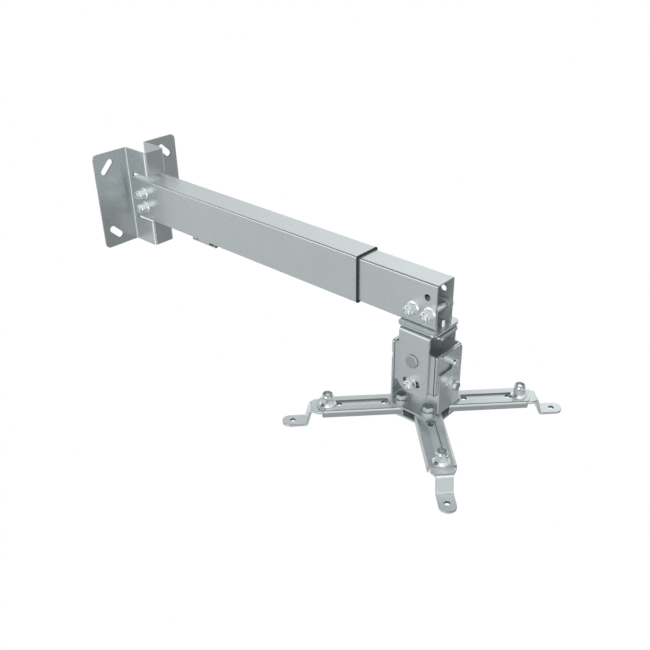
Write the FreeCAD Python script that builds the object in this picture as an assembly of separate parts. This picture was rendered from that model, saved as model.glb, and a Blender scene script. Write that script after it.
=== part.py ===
import FreeCAD, Part
import math
import os
from FreeCAD import Placement, Rotation, Vector

# Telescopic projector wall mount, all sheet steel with zinc-plated fasteners.
# Origin: on the wall, in line with the middle of the telescopic tube.
# The tube runs along -Y away from the wall, +X is to the right when facing the wall, +Z is up.
# All sizes are in millimetres.

# Wall bracket, a folded hat section
BRACKET_HEIGHT = 116.0
BRACKET_WIDTH = 118.0
BRACKET_DEPTH = 38.4
BRACKET_SHEET = 2.0
BRACKET_CORNER = 6.0
BRACKET_BEND = 1.4
WALL_SLOT_WIDTH = 8.0
WALL_SLOT_TRAVEL = 13.2
WALL_SLOT_X = 42.2
WALL_SLOT_Z = 40.7

# Telescopic tubes
OUTER_WIDTH = 31.2
OUTER_HEIGHT = 50.0
TUBE_WALL = 1.5
TUBE_CORNER = 2.0
OUTER_REAR = 11.0
OUTER_END = 360.7
SLIDE_GAP_SIDE = 0.7
SLIDE_GAP_TOP = 0.22
INNER_REAR = 98.0
INNER_END = 453.8
COLLAR_THICKNESS = 1.0
COLLAR_PROUD = 0.3
COLLAR_GAP = 0.3
TRAVEL_IN = 10.0
TRAVEL_OUT = 205.0

# Fasteners
M5_RADIUS = 2.5
M6_RADIUS = 3.0
M8_RADIUS = 4.0
HOLE_GAP = 0.2
DRILL_REACH = 9.0
PIVOT_GAP = 0.08
SLOT_GAP = 0.4
THREAD_GAP = 0.04
BRACKET_BOLT_Y = 31.0
BRACKET_BOLT_Z = 8.5
NUT_FLATS = 10.0
NUT_FLANGE = 14.0
NUT_FLANGE_HEIGHT = 1.2
BRACKET_NUT_HEIGHT = 12.4
ROLL_NUT_HEIGHT = 9.8
FOOT_NUT_HEIGHT = 12.2
FOOT_NUT_FLATS = 11.5
FOOT_NUT_FLANGE = 16.8
FOOT_NUT_FLANGE_HEIGHT = 2.4
LOCK_NUT_RECESS = 1.4
END_NUT_HEIGHT = 12.4
TILT_NUT_HEIGHT = 9.0
TILT_NUT_FLANGE = 11.8
BASE_NUT_HEIGHT = 7.0
BOLT_HEAD_FLATS = 10.0
BOLT_HEAD_HEIGHT = 4.5
BASE_HEAD_HEIGHT = 6.4
BASE_HEAD_FLANGE = 13.0
BOLT_END = 4.6

# Length lock under the tube
LOCK_BOLT_REAR = 117.3
LOCK_BOLT_PITCH = 27.0
LOCK_CLAMP_MARGIN = 5.5
LOCK_CLAMP_WIDTH = 27.0
LOCK_CLAMP_HEIGHT = 5.0
LOCK_CLAMP_SHEET = 1.5
LOCK_NOTCH = 8.0
NUT_PLATE_WIDTH = 20.0
NUT_PLATE_MARGIN = 4.5
NUT_PLATE_THICKNESS = 4.0
NUT_PLATE_CORNER = 2.0

# End bracket in the tube's mouth, with the swivel plate under the tube
HEAD_Y = 436.5
END_BOLT_OFFSET = 1.0
END_BOLT_PITCH = 18.8
END_BOLT_Z = -7.0
CABLE_HOLE_Y = 443.3
CABLE_HOLE_Z = 8.7
CABLE_HOLE_RADIUS = 3.2
EAR_SHEET = 2.0
EAR_LENGTH = 32.0
EAR_TOP = 1.0
EAR_CORNER = 6.0
SWIVEL_PLATE_WIDTH = 41.5
SWIVEL_PLATE_LENGTH = 45.0
SWIVEL_PLATE_THICKNESS = 2.5
SWIVEL_PLATE_CORNER = 6.0
SWIVEL_WASHER_RADIUS = 12.0
SWIVEL_WASHER_THICKNESS = 1.2
SWIVEL_LOCK_RADIUS = 16.0
SWIVEL_STUD_RISE = 6.5
SWIVEL_NUT_FLATS = 8.0
SWIVEL_NUT_HEIGHT = 5.0
PIVOT_NUT_FLATS = 13.0
PIVOT_NUT_HEIGHT = 5.0
PIVOT_HEAD_HEIGHT = 3.0
SWIVEL_LIMIT = 15.0

# Head sheet parts
HEAD_SHEET = 2.0
HEAD_BEND = 1.6
YOKE_WIDTH = 44.0
YOKE_LENGTH = 35.0
YOKE_BOTTOM = -95.5
YOKE_REAR_CORNER = 13.0
YOKE_FRONT_CORNER = 5.5
YOKE_TONGUE_WIDTH = 30.0
YOKE_TONGUE_REACH = 25.5
SIDE_PLAY = 0.2
BOX_LENGTH = 52.0
BOX_TOP = -46.0
BOX_BOTTOM = -91.0
BOX_SEAM = 0.8
TILT_OFFSET = 0.9
TILT_Z = -58.5
TILT_LOCK_RADIUS = 25.0
TILT_LIMIT = 15.0
RIVET_HEAD_RADIUS = 7.0
RIVET_HEAD_HEIGHT = 2.0
ROLL_Z = -57.0
ROLL_LOCK_RADIUS = 25.0
ROLL_LIMIT = 8.0
ROLL_HEAD_RADIUS = 3.6
ROLL_HEAD_HEIGHT = 7.5
ROLL_INNER_NUT_HEIGHT = 5.0
HOOK_DROP = 6.4

# Base bracket and bottom plate, with the arms between them
BASE_WIDTH = 55.0
BASE_LENGTH = 55.0
BEND_RELIEF = 1.5
BASE_BOTTOM = -113.5
BASE_CORNER = 6.0
UPRIGHT_WIDTH = 37.6
UPRIGHT_TOP = -46.6
UPRIGHT_CORNER = 4.0
UPRIGHT_HOOK_CORNER = 2.5
FRONT_UPRIGHT_INSET = 3.2
REAR_UPRIGHT_INSET = 0.7
BOTTOM_PLATE_SHEET = 2.5
ARM_BOLT_OFFSET = 16.0

# Arms and feet, as seen from above with each arm's own pivot at its origin
ARM_COUNT = 4
ARM_FIRST_ANGLE = 45.0
ARM_WIDTH = 27.0
ARM_HEIGHT = 7.0
ARM_SHEET = 1.5
ARM_BEND = 0.8
ARM_REACH = 83.9
ARM_SHOULDER = 78.5
ARM_SLOT_WIDTH = 9.0
ARM_SLOT_START = 12.5
ARM_SLOT_END = 78.0
ARM_SWING = 40.0
STRAP_SHEET = 2.5
STRAP_BEND = 1.2
STRAP_SIDE_GAP = 0.3
STRAP_EDGE = 1.2
STRAP_START = 11.5
STRAP_SHOULDER = 84.5
STRAP_NECK = 90.0
STRAP_BEND_TOP = 91.5
STRAP_BEND_FOOT = 96.0
STRAP_END = 118.8
STRAP_DROP = 16.3
STRAP_TONGUE_WIDTH = 16.0
STRAP_HOLE = 108.5
STRAP_HOLE_RADIUS = 2.75
STRAP_SPARE_HOLES = (17.5, 62.0)
FOOT_BOLT_REACH = 73.5
CARRIAGE_HEAD_RADIUS = 6.8
CARRIAGE_HEAD_HEIGHT = 3.0

# Sizes that follow from the ones above
OUTER_CAVITY_WIDTH = OUTER_WIDTH - 2 * TUBE_WALL
OUTER_CAVITY_HEIGHT = OUTER_HEIGHT - 2 * TUBE_WALL
INNER_WIDTH = OUTER_CAVITY_WIDTH - 2 * SLIDE_GAP_SIDE
INNER_HEIGHT = OUTER_CAVITY_HEIGHT - 2 * SLIDE_GAP_TOP
INNER_CAVITY_WIDTH = INNER_WIDTH - 2 * TUBE_WALL
INNER_CAVITY_HEIGHT = INNER_HEIGHT - 2 * TUBE_WALL
SWIVEL_PLATE_TOP = -INNER_HEIGHT / 2
SWIVEL_PLATE_BOTTOM = SWIVEL_PLATE_TOP - SWIVEL_PLATE_THICKNESS
YOKE_TOP = SWIVEL_PLATE_BOTTOM - SWIVEL_WASHER_THICKNESS
BOX_WIDTH = YOKE_WIDTH - 2 * HEAD_SHEET - 2 * SIDE_PLAY
TILT_Y = HEAD_Y - TILT_OFFSET
BOTTOM_PLATE_TOP = BASE_BOTTOM - ARM_HEIGHT
LOCK_BOLTS = (LOCK_BOLT_REAR, LOCK_BOLT_REAR + LOCK_BOLT_PITCH)
LOCK_MIDDLE = -(LOCK_BOLTS[0] + LOCK_BOLTS[1]) / 2
END_BOLTS = (
    HEAD_Y + END_BOLT_OFFSET - END_BOLT_PITCH / 2,
    HEAD_Y + END_BOLT_OFFSET + END_BOLT_PITCH / 2,
)
M6_HOLE = M6_RADIUS + HOLE_GAP
M6_SLOT = M6_RADIUS + SLOT_GAP
BIG = 500.0

X_AXIS = Vector(1, 0, 0)
Y_AXIS = Vector(0, 1, 0)
Z_AXIS = Vector(0, 0, 1)


def save(node, shape):
    """Writes one piece to its own file."""
    shape.exportStep("parts/" + node + ".step")


def rounded_face(corners):
    """A flat face in XY from corners (x, y, radius), each rounded with its own arc."""
    count = len(corners)
    starts = []
    ends = []
    middles = []
    for i in range(count):
        x, y, radius = corners[i]
        here = Vector(x, y, 0)
        before = Vector(corners[i - 1][0], corners[i - 1][1], 0)
        after = Vector(corners[(i + 1) % count][0], corners[(i + 1) % count][1], 0)
        to_before = (before - here).normalize()
        to_after = (after - here).normalize()
        if radius <= 0:
            starts.append(here)
            ends.append(here)
            middles.append(None)
            continue
        half = to_before.getAngle(to_after) / 2
        reach = radius / math.tan(half)
        bisector = (to_before + to_after).normalize()
        centre = here + bisector * (radius / math.sin(half))
        starts.append(here + to_before * reach)
        ends.append(here + to_after * reach)
        middles.append(centre - bisector * radius)
    edges = []
    for i in range(count):
        if middles[i] is not None:
            edges.append(Part.Arc(starts[i], middles[i], ends[i]).toShape())
        following = starts[(i + 1) % count]
        if (following - ends[i]).Length > 1e-6:
            edges.append(Part.LineSegment(ends[i], following).toShape())
    return Part.Face(Part.Wire(edges))


def bent_sheet_face(path, thickness, bend):
    """The edge view of a folded sheet in XY. The sheet lies to the left of the path."""
    headings = []
    for i in range(len(path) - 1):
        step = Vector(path[i + 1][0] - path[i][0], path[i + 1][1] - path[i][1], 0)
        headings.append(step.normalize())
    right_side = []
    left_side = []
    for i, (x, y) in enumerate(path):
        here = Vector(x, y, 0)
        first = headings[max(i - 1, 0)]
        second = headings[min(i, len(headings) - 1)]
        left_first = Vector(-first.y, first.x, 0)
        left_second = Vector(-second.y, second.x, 0)
        offset = (left_first + left_second) * (thickness / (1 + left_first.dot(left_second)))
        turn = first.cross(second).z
        if abs(turn) < 1e-9:
            outer, inner = 0, 0
        elif turn > 0:
            outer, inner = bend + thickness, bend
        else:
            outer, inner = bend, bend + thickness
        right_side.append((here.x, here.y, outer))
        left_side.append(((here + offset).x, (here + offset).y, inner))
    return rounded_face(right_side + left_side[::-1])


def along_z(face, low, high):
    """Extrudes a face drawn in XY from one height to another."""
    solid = face.extrude(Z_AXIS * (high - low))
    solid.translate(Z_AXIS * low)
    return solid


def along_y(face, low, high):
    """Extrudes a face drawn as (x, z) along the arm's direction."""
    solid = face.extrude(Z_AXIS * (high - low))
    solid.Placement = Placement(Vector(0, high, 0), Rotation(X_AXIS, 90))
    return solid


def along_x(face, low, high):
    """Extrudes a face drawn as (y, z) across the arm."""
    solid = face.extrude(Z_AXIS * (high - low))
    solid.Placement = Placement(Vector(low, 0, 0), Rotation(Vector(1, 1, 1), 120))
    return solid


def rectangle(x_low, x_high, y_low, y_high, corner=0.0):
    """A flat rectangle with rounded corners."""
    return rounded_face([
        (x_low, y_low, corner),
        (x_high, y_low, corner),
        (x_high, y_high, corner),
        (x_low, y_high, corner),
    ])


def block(x_low, x_high, y_low, y_high, z_low, z_high):
    """A plain box between six planes."""
    corner = Vector(x_low, y_low, z_low)
    return Part.makeBox(x_high - x_low, y_high - y_low, z_high - z_low, corner)


def rod(radius, start, end):
    """A round bar from one point to another."""
    span = end - start
    return Part.makeCylinder(radius, span.Length, start, span)


def hexagon(flats, start, end):
    """A six-sided bar from one point to another, measured across its flats."""
    span = end - start
    corner = flats / math.sqrt(3)
    points = [
        Vector(corner * math.cos(math.radians(60 * i)), corner * math.sin(math.radians(60 * i)), 0)
        for i in range(7)
    ]
    solid = Part.Face(Part.makePolygon(points)).extrude(Z_AXIS * span.Length)
    solid.Placement = Placement(start, Rotation(Z_AXIS, span))
    return solid


def arc_slot(centre, axis, down, radius, swing, half_width):
    """A curved slot round a pivot. The slot's middle lies from the pivot along down."""
    side = axis.cross(down)
    depth = BIG / 10
    points = []
    for angle in (-swing, 0.0, swing):
        turn = math.radians(angle)
        points.append(down * math.cos(turn) + side * math.sin(turn))
    inner = radius - half_width
    outer = radius + half_width
    edges = [
        Part.Arc(*[centre + p * outer for p in points]).toShape(),
        Part.LineSegment(centre + points[2] * outer, centre + points[2] * inner).toShape(),
        Part.Arc(*[centre + p * inner for p in points[::-1]]).toShape(),
        Part.LineSegment(centre + points[0] * inner, centre + points[0] * outer).toShape(),
    ]
    face = Part.Face(Part.Wire(edges))
    face.translate(axis * (-depth / 2))
    cutter = face.extrude(axis * depth)
    for end in (points[0], points[2]):
        middle = centre + end * radius
        cutter = cutter.fuse(rod(half_width, middle - axis * (depth / 2), middle + axis * (depth / 2)))
    return cutter


def straight_slot(start, end, half_width, axis, depth):
    """A slot with round ends between two centres, cut along axis."""
    run = end - start
    side = axis.cross(run).normalize() * half_width
    reach = axis * (depth / 2)
    corners = [start - side, end - side, end + side, start + side, start - side]
    face = Part.Face(Part.makePolygon([p - reach for p in corners]))
    cutter = face.extrude(axis * depth)
    for middle in (start, end):
        cutter = cutter.fuse(rod(half_width, middle - reach, middle + reach))
    return cutter


def flanged_nut(seat, out, height, flats=NUT_FLATS, flange=NUT_FLANGE, rise=NUT_FLANGE_HEIGHT):
    """A hex nut on a seat, with a round flange that falls away from its hexagon."""
    top = seat + out * height
    nut = hexagon(flats, seat, top)
    nut = nut.fuse(Part.makeCone(flange / 2, flats / 2, rise, seat, out))
    return nut.cut(rod(M6_RADIUS + THREAD_GAP, seat - out, top + out))


def lock_nut(seat, out, height, flats=NUT_FLATS, flange=NUT_FLANGE, rise=NUT_FLANGE_HEIGHT):
    """A taller flanged nut with a round recess at its outer end, for a nylon ring."""
    top = seat + out * height
    nut = flanged_nut(seat, out, height, flats, flange, rise)
    return nut.cut(rod(M6_RADIUS + LOCK_NUT_RECESS, top - out * LOCK_NUT_RECESS, top + out))


def plain_nut(seat, out, radius, flats, height):
    """A hex nut on a seat."""
    top = seat + out * height
    nut = hexagon(flats, seat, top)
    return nut.cut(rod(radius + THREAD_GAP, seat - out, top + out))


def hex_bolt(seat, out, end, radius=M6_RADIUS, flats=BOLT_HEAD_FLATS):
    """A hex bolt with its head on a seat, its shank running back to end."""
    head = hexagon(flats, seat, seat + out * BOLT_HEAD_HEIGHT)
    return head.fuse(rod(radius, seat, end))


def flanged_bolt(seat, out, end, height, flange):
    """A hex bolt with a taller head on a round flange."""
    head = hexagon(BOLT_HEAD_FLATS, seat, seat + out * height)
    head = head.fuse(Part.makeCone(flange / 2, BOLT_HEAD_FLATS / 2, NUT_FLANGE_HEIGHT, seat, out))
    return head.fuse(rod(M6_RADIUS, seat, end))


def group(solids):
    """Several like pieces kept as separate solids in one node."""
    return Part.makeCompound(solids)


def make_wall_bracket():
    """The hat section that is screwed to the wall. Its crown is slotted for the tube."""
    half_width = BRACKET_WIDTH / 2
    half_height = BRACKET_HEIGHT / 2
    web_outer = OUTER_CAVITY_WIDTH / 2 - 0.1
    web_inner = web_outer - BRACKET_SHEET
    crown_inner = -(BRACKET_DEPTH - BRACKET_SHEET)
    path = [
        (half_width, 0),
        (web_inner, 0),
        (web_inner, crown_inner),
        (-web_inner, crown_inner),
        (-web_inner, 0),
        (-half_width, 0),
    ]
    bracket = along_z(bent_sheet_face(path, BRACKET_SHEET, BRACKET_BEND), -half_height, half_height)
    front_view = rectangle(-half_width, half_width, -half_height, half_height, BRACKET_CORNER)
    bracket = bracket.common(along_y(front_view, -BIG, BIG))
    tongue = OUTER_CAVITY_HEIGHT / 2 - 0.35
    slot_floor = -(OUTER_REAR - 0.5)
    bracket = bracket.cut(block(-BIG, BIG, -BIG, slot_floor, tongue, OUTER_HEIGHT / 2 + 4.3))
    bracket = bracket.cut(block(-BIG, BIG, -BIG, slot_floor, -OUTER_HEIGHT / 2 - 3.0, -tongue))
    for side in (-1, 1):
        for level in (-1, 1):
            middle = Vector(side * WALL_SLOT_X, 0, level * WALL_SLOT_Z)
            lean = Vector(1, 0, -side * level).normalize() * (WALL_SLOT_TRAVEL / 2)
            slot = straight_slot(middle - lean, middle + lean, WALL_SLOT_WIDTH / 2, Y_AXIS, BRACKET_DEPTH)
            bracket = bracket.cut(slot)
    for level in (-1, 1):
        centre = Vector(0, -BRACKET_BOLT_Y, level * BRACKET_BOLT_Z)
        bracket = bracket.cut(rod(M6_HOLE, centre - X_AXIS * BIG, centre + X_AXIS * BIG))
    return bracket


def square_tube(width, height, wall, corner, rear, end):
    """A welded rectangular tube along the arm's direction."""
    outside = rectangle(-width / 2, width / 2, -height / 2, height / 2, corner)
    inside = rectangle(
        -width / 2 + wall, width / 2 - wall, -height / 2 + wall, height / 2 - wall, corner - wall
    )
    return along_y(outside, -end, -rear).cut(along_y(inside, -end - 1, -rear + 1))


def make_outer_tube():
    """The fixed tube, with a long slot in its underside for the length lock."""
    tube = square_tube(OUTER_WIDTH, OUTER_HEIGHT, TUBE_WALL, TUBE_CORNER, OUTER_REAR, OUTER_END)
    for level in (-1, 1):
        centre = Vector(0, -BRACKET_BOLT_Y, level * BRACKET_BOLT_Z)
        tube = tube.cut(rod(M6_HOLE, centre - X_AXIS * BIG, centre + X_AXIS * BIG))
    floor = -OUTER_HEIGHT / 2
    start = Vector(0, -LOCK_BOLTS[0] + TRAVEL_IN, floor)
    end = Vector(0, -LOCK_BOLTS[1] - TRAVEL_OUT, floor)
    return tube.cut(straight_slot(start, end, M6_SLOT, Z_AXIS, 4 * TUBE_WALL))


def make_end_collar():
    """The black plastic ring that closes the gap at the outer tube's end."""
    outer_x = OUTER_WIDTH / 2 + COLLAR_PROUD
    outer_z = OUTER_HEIGHT / 2 + COLLAR_PROUD
    inner_x = INNER_WIDTH / 2 + COLLAR_GAP
    inner_z = INNER_HEIGHT / 2 + COLLAR_GAP
    ring = along_y(
        rectangle(-outer_x, outer_x, -outer_z, outer_z, TUBE_CORNER + COLLAR_PROUD),
        -OUTER_END - COLLAR_THICKNESS, -OUTER_END,
    )
    mouth = rectangle(-inner_x, inner_x, -inner_z, inner_z, TUBE_CORNER + COLLAR_GAP)
    return ring.cut(along_y(mouth, -OUTER_END - BIG, -OUTER_END + BIG))


def make_bracket_fasteners():
    """Two long bolts through the tube and the bracket's webs, with nuts on the left."""
    bolts = []
    nuts = []
    for level in (-1, 1):
        centre = Vector(0, -BRACKET_BOLT_Y, level * BRACKET_BOLT_Z)
        seat = centre - X_AXIS * (OUTER_WIDTH / 2)
        tip = seat - X_AXIS * (BRACKET_NUT_HEIGHT - LOCK_NUT_RECESS)
        bolts.append(hex_bolt(centre + X_AXIS * (OUTER_WIDTH / 2), X_AXIS, tip))
        nuts.append(lock_nut(seat, -X_AXIS, BRACKET_NUT_HEIGHT))
    return group(bolts), group(nuts)


def make_inner_tube():
    """The sliding tube. Its floor is cut away at the front for the end bracket."""
    tube = square_tube(INNER_WIDTH, INNER_HEIGHT, TUBE_WALL, TUBE_CORNER, INNER_REAR, INNER_END)
    for y in LOCK_BOLTS:
        tube = tube.cut(rod(M6_HOLE, Vector(0, -y, -INNER_HEIGHT), Vector(0, -y, 0)))
    for y in END_BOLTS:
        centre = Vector(0, -y, END_BOLT_Z)
        tube = tube.cut(rod(M6_HOLE, centre - X_AXIS * BIG, centre + X_AXIS * BIG))
    centre = Vector(0, -CABLE_HOLE_Y, CABLE_HOLE_Z)
    tube = tube.cut(rod(CABLE_HOLE_RADIUS, centre - X_AXIS * BIG, centre + X_AXIS * BIG))
    gap = INNER_CAVITY_WIDTH / 2
    mouth = block(-gap, gap, -INNER_END - 1, -HEAD_Y + EAR_LENGTH / 2 + 3, -INNER_HEIGHT, -INNER_HEIGHT / 2 + 2)
    return tube.cut(mouth)


def make_lock_clamp():
    """A shallow channel pressed up against the outer tube from below."""
    top = -OUTER_HEIGHT / 2
    half = LOCK_CLAMP_WIDTH / 2
    path = [
        (-half, top),
        (-half, top - LOCK_CLAMP_HEIGHT),
        (half, top - LOCK_CLAMP_HEIGHT),
        (half, top),
    ]
    reach = LOCK_BOLT_PITCH / 2 + LOCK_CLAMP_MARGIN
    section = bent_sheet_face(path, LOCK_CLAMP_SHEET, ARM_BEND)
    clamp = along_y(section, LOCK_MIDDLE - reach, LOCK_MIDDLE + reach)
    for y in LOCK_BOLTS:
        clamp = clamp.cut(rod(M6_HOLE, Vector(0, -y, top - BIG), Vector(0, -y, top + BIG)))
        floor = top - LOCK_CLAMP_HEIGHT + LOCK_CLAMP_SHEET + ARM_BEND
        notch = block(-BIG, BIG, -y - LOCK_NOTCH / 2, -y + LOCK_NOTCH / 2, floor, top + 1)
        clamp = clamp.cut(notch)
    return clamp


def make_lock_bolts():
    """Two bolts up through the clamp and the tube's slot into the nut plate."""
    seat = -OUTER_HEIGHT / 2 - LOCK_CLAMP_HEIGHT
    tip = -INNER_CAVITY_HEIGHT / 2 + NUT_PLATE_THICKNESS + 1.0
    return group([hex_bolt(Vector(0, -y, seat), -Z_AXIS, Vector(0, -y, tip)) for y in LOCK_BOLTS])


def make_lock_nut_plate():
    """The threaded plate on the floor of the sliding tube."""
    floor = -INNER_CAVITY_HEIGHT / 2
    half = NUT_PLATE_WIDTH / 2
    reach = LOCK_BOLT_PITCH / 2 + NUT_PLATE_MARGIN
    view = rectangle(-half, half, LOCK_MIDDLE - reach, LOCK_MIDDLE + reach, NUT_PLATE_CORNER)
    plate = along_z(view, floor, floor + NUT_PLATE_THICKNESS)
    for y in LOCK_BOLTS:
        bore = rod(M6_RADIUS + THREAD_GAP, Vector(0, -y, floor - 1), Vector(0, -y, 0))
        plate = plate.cut(bore)
    return plate


def make_end_bracket():
    """The swivel plate under the tube, with two ears that stand up inside the tube."""
    half = SWIVEL_PLATE_WIDTH / 2
    reach = SWIVEL_PLATE_LENGTH / 2
    view = rectangle(-half, half, -HEAD_Y - reach, -HEAD_Y + reach, SWIVEL_PLATE_CORNER)
    bracket = along_z(view, SWIVEL_PLATE_BOTTOM, SWIVEL_PLATE_TOP)
    ear_outer = INNER_CAVITY_WIDTH / 2
    ear_ends = (-HEAD_Y - EAR_LENGTH / 2 - 1, -HEAD_Y + EAR_LENGTH / 2 + 1)
    ear_view = rounded_face([
        (ear_ends[0], SWIVEL_PLATE_BOTTOM, 0),
        (ear_ends[1], SWIVEL_PLATE_BOTTOM, 0),
        (ear_ends[1], EAR_TOP, EAR_CORNER),
        (ear_ends[0], EAR_TOP, EAR_CORNER),
    ])
    for side in (-1, 1):
        low = min(side * ear_outer, side * (ear_outer - EAR_SHEET))
        bracket = bracket.fuse(along_x(ear_view, low, low + EAR_SHEET))
    for y in END_BOLTS:
        centre = Vector(0, -y, END_BOLT_Z)
        bracket = bracket.cut(rod(M6_HOLE, centre - X_AXIS * BIG, centre + X_AXIS * BIG))
    pivot = Vector(0, -HEAD_Y, 0)
    bracket = bracket.cut(rod(M8_RADIUS + PIVOT_GAP, pivot - Z_AXIS * BIG, pivot))
    stud = Vector(0, -HEAD_Y - SWIVEL_LOCK_RADIUS, 0)
    bracket = bracket.cut(rod(M5_RADIUS + THREAD_GAP, stud - Z_AXIS * BIG, stud))
    return bracket.removeSplitter()


def make_end_fasteners():
    """Two bolts through the tube's mouth and the ears, with nuts on the left."""
    bolts = []
    nuts = []
    for y in END_BOLTS:
        seat = Vector(-INNER_WIDTH / 2, -y, END_BOLT_Z)
        tip = seat - X_AXIS * (END_NUT_HEIGHT - LOCK_NUT_RECESS)
        bolts.append(hex_bolt(Vector(INNER_WIDTH / 2, -y, END_BOLT_Z), X_AXIS, tip))
        nuts.append(lock_nut(seat, -X_AXIS, END_NUT_HEIGHT))
    return group(bolts), group(nuts)


def make_swivel_pieces():
    """The pivot bolt, its nut and washer, and the stud and nut that lock the swivel."""
    low = Vector(0, -HEAD_Y, YOKE_TOP - HEAD_SHEET)
    top = Vector(0, -HEAD_Y, SWIVEL_PLATE_TOP)
    head = rod(2 * M8_RADIUS, low - Z_AXIS * PIVOT_HEAD_HEIGHT, low)
    pivot_bolt = head.fuse(rod(M8_RADIUS, low, top + Z_AXIS * (PIVOT_NUT_HEIGHT + 1.0)))
    pivot_nut = plain_nut(top, Z_AXIS, M8_RADIUS, PIVOT_NUT_FLATS, PIVOT_NUT_HEIGHT)
    washer = rod(SWIVEL_WASHER_RADIUS, low + Z_AXIS * HEAD_SHEET, top - Z_AXIS * SWIVEL_PLATE_THICKNESS)
    washer = washer.cut(rod(M8_RADIUS + HOLE_GAP, low, top))
    shift = Y_AXIS * SWIVEL_LOCK_RADIUS
    stud_low = low - shift - Z_AXIS * (SWIVEL_NUT_HEIGHT + BOLT_END)
    stud = rod(M5_RADIUS, stud_low, top - shift + Z_AXIS * SWIVEL_STUD_RISE)
    stud_nut = plain_nut(low - shift, -Z_AXIS, M5_RADIUS, SWIVEL_NUT_FLATS, SWIVEL_NUT_HEIGHT)
    return pivot_bolt, pivot_nut, washer, stud, stud_nut


def make_yoke():
    """The folded yoke that hangs from the swivel plate and carries the tilting box."""
    half = YOKE_WIDTH / 2
    reach = YOKE_LENGTH / 2
    path = [(half, YOKE_BOTTOM), (half, YOKE_TOP), (-half, YOKE_TOP), (-half, YOKE_BOTTOM)]
    yoke = along_y(bent_sheet_face(path, HEAD_SHEET, HEAD_BEND), -HEAD_Y - reach, -HEAD_Y + reach)
    side_view = rounded_face([
        (-HEAD_Y - reach, YOKE_BOTTOM, YOKE_FRONT_CORNER),
        (-HEAD_Y + reach, YOKE_BOTTOM, YOKE_REAR_CORNER),
        (-HEAD_Y + reach, YOKE_TOP, 0),
        (-HEAD_Y - reach, YOKE_TOP, 0),
    ])
    yoke = yoke.common(along_x(side_view, -half, half))
    tongue_half = YOKE_TONGUE_WIDTH / 2
    tongue = rounded_face([
        (-tongue_half, -HEAD_Y - YOKE_TONGUE_REACH, 5.0),
        (tongue_half, -HEAD_Y - YOKE_TONGUE_REACH, 5.0),
        (tongue_half, -HEAD_Y, 0),
        (-tongue_half, -HEAD_Y, 0),
    ])
    yoke = yoke.fuse(along_z(tongue, YOKE_TOP - HEAD_SHEET, YOKE_TOP)).removeSplitter()
    pivot = Vector(0, -HEAD_Y, YOKE_TOP)
    yoke = yoke.cut(rod(M8_RADIUS + PIVOT_GAP, pivot - Z_AXIS * DRILL_REACH, pivot + Z_AXIS * DRILL_REACH))
    slot = arc_slot(pivot, Z_AXIS, -Y_AXIS, SWIVEL_LOCK_RADIUS, SWIVEL_LIMIT, M5_RADIUS + SLOT_GAP)
    yoke = yoke.cut(slot)
    tilt = Vector(0, -TILT_Y, TILT_Z)
    yoke = yoke.cut(rod(M8_RADIUS + PIVOT_GAP, tilt - X_AXIS * BIG, tilt + X_AXIS * BIG))
    for side in (-1, 1):
        centre = tilt + X_AXIS * (side * half)
        yoke = yoke.cut(arc_slot(centre, X_AXIS, -Z_AXIS, TILT_LOCK_RADIUS, TILT_LIMIT, M6_SLOT))
    return yoke


def make_tilt_box():
    """The open box folded from a cross-shaped blank. It tilts inside the yoke."""
    half = BOX_WIDTH / 2
    reach = BOX_LENGTH / 2
    side_reach = reach - HEAD_SHEET - BOX_SEAM
    fold = HEAD_SHEET + HEAD_BEND
    ends_path = [
        (-HEAD_Y - reach, BOX_TOP),
        (-HEAD_Y - reach, BOX_BOTTOM),
        (-HEAD_Y + reach, BOX_BOTTOM),
        (-HEAD_Y + reach, BOX_TOP),
    ]
    ends = along_x(bent_sheet_face(ends_path, HEAD_SHEET, HEAD_BEND), -half, half)
    front_view = rounded_face([
        (-half, BOX_TOP, 2.0),
        (-half, BOX_BOTTOM + fold, 0),
        (-half + fold, BOX_BOTTOM, 0),
        (half - fold, BOX_BOTTOM, 0),
        (half, BOX_BOTTOM + fold, 0),
        (half, BOX_TOP, 2.0),
    ])
    ends = ends.common(along_y(front_view, -BIG * 2, 0))
    sides_path = [(-half, BOX_TOP), (-half, BOX_BOTTOM), (half, BOX_BOTTOM), (half, BOX_TOP)]
    sides = along_y(
        bent_sheet_face(sides_path, HEAD_SHEET, HEAD_BEND), -HEAD_Y - side_reach, -HEAD_Y + side_reach
    )
    box = ends.fuse(sides).removeSplitter()
    tilt = Vector(0, -TILT_Y, TILT_Z)
    box = box.cut(rod(M8_RADIUS + PIVOT_GAP, tilt - X_AXIS * BIG, tilt + X_AXIS * BIG))
    lock = tilt - Z_AXIS * TILT_LOCK_RADIUS
    box = box.cut(rod(M6_HOLE, lock - X_AXIS * BIG, lock + X_AXIS * BIG))
    for drop in (0, ROLL_LOCK_RADIUS):
        centre = Vector(0, -HEAD_Y, ROLL_Z - drop)
        box = box.cut(rod(M6_HOLE, centre - Y_AXIS * reach * 2, centre + Y_AXIS * reach * 2))
    return box


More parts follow.
